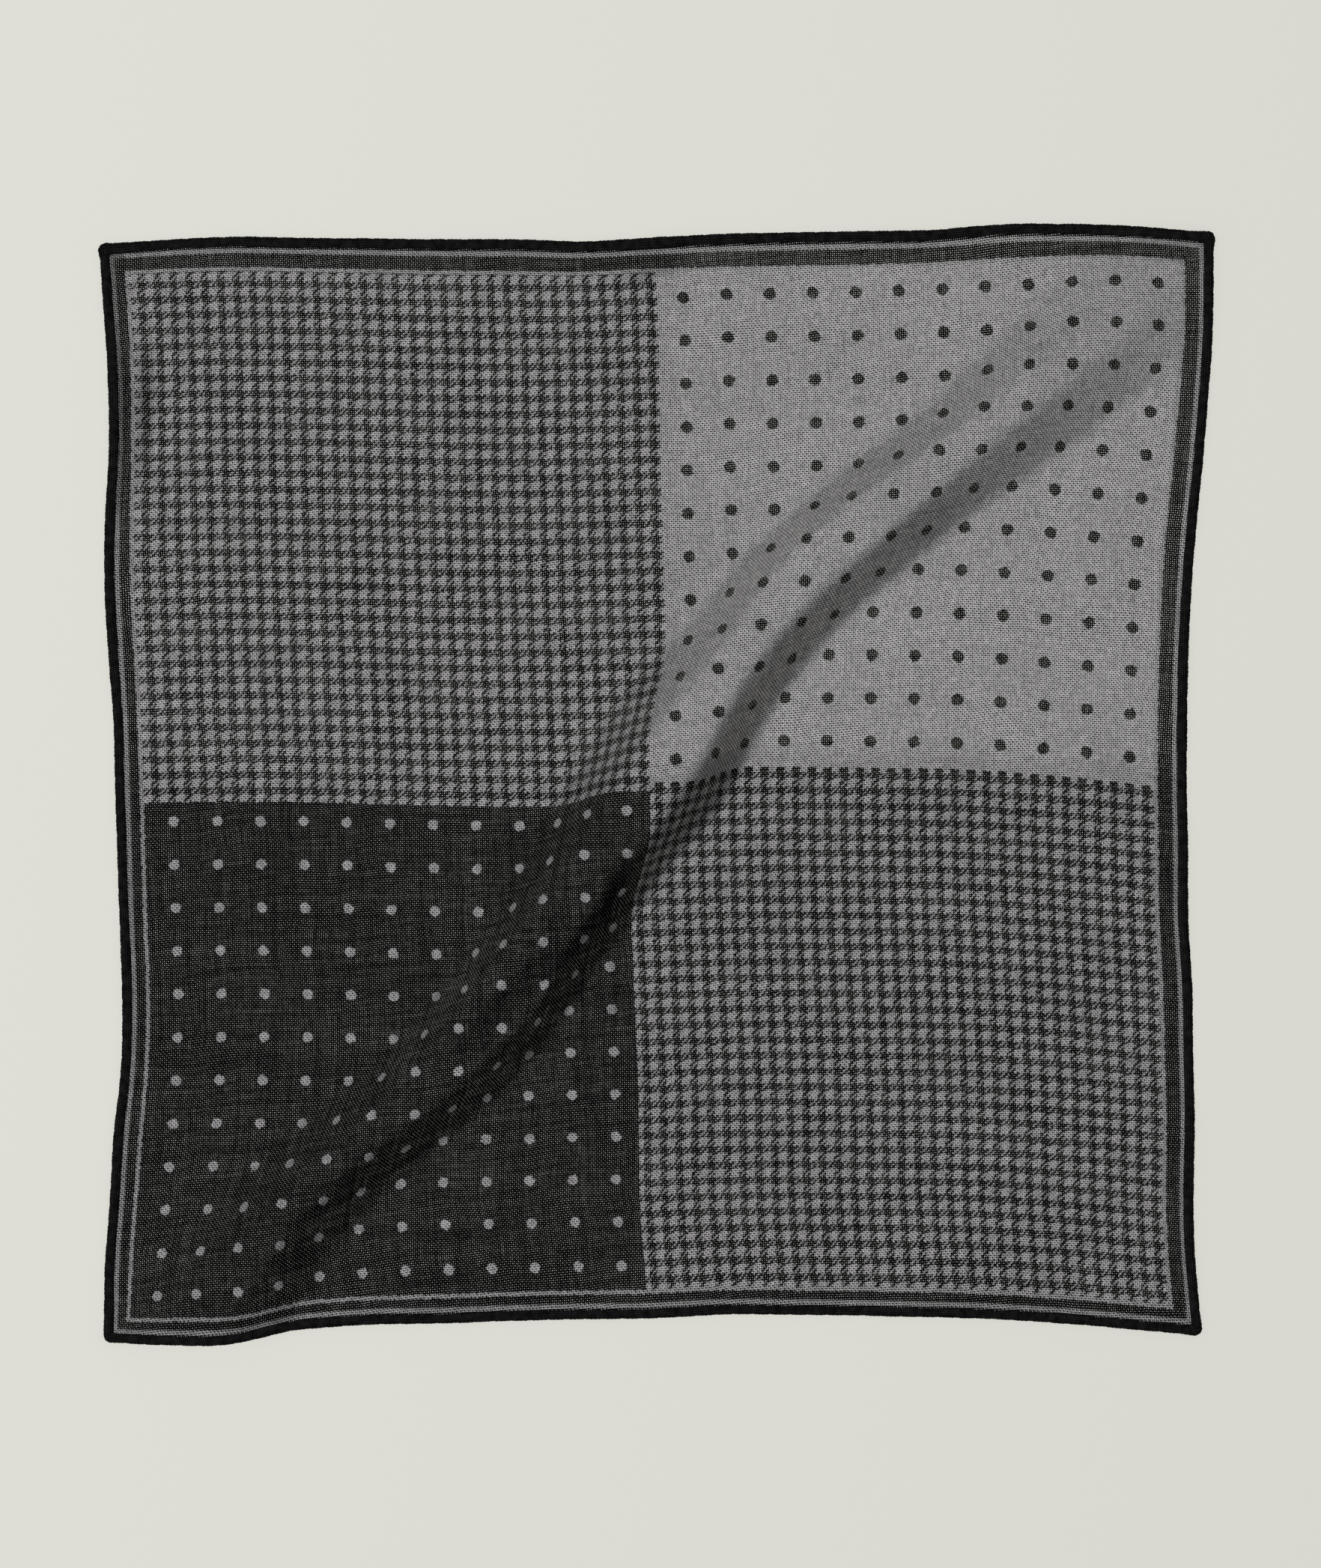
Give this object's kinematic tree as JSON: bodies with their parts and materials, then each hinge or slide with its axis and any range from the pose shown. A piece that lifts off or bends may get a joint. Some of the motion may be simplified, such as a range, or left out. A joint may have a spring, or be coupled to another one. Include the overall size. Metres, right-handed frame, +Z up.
{
  "type": "pocket square",
  "caption": "Thin open-weave pocket square with a narrow rolled hem, laid open with a soft diagonal ridge, printed in panels of houndstooth and polka dots.",
  "frame": {"origin": "middle of the cloth's outline, on the surface that it rests on", "axes": "+Z up, off the surface; +Y towards the edge that is at the top of the picture; +X towards the edge at the right; the ridge runs from the -X -Y corner to the +X +Y corner"},
  "size_m": [0.3312, 0.3336, 0.017],
  "materials": {
    "cloth": "matte open plain weave, black and off-white print"
  },
  "bodies": {
    "root": {"pocket_square": "cloth"}
  },
  "joints": []
}
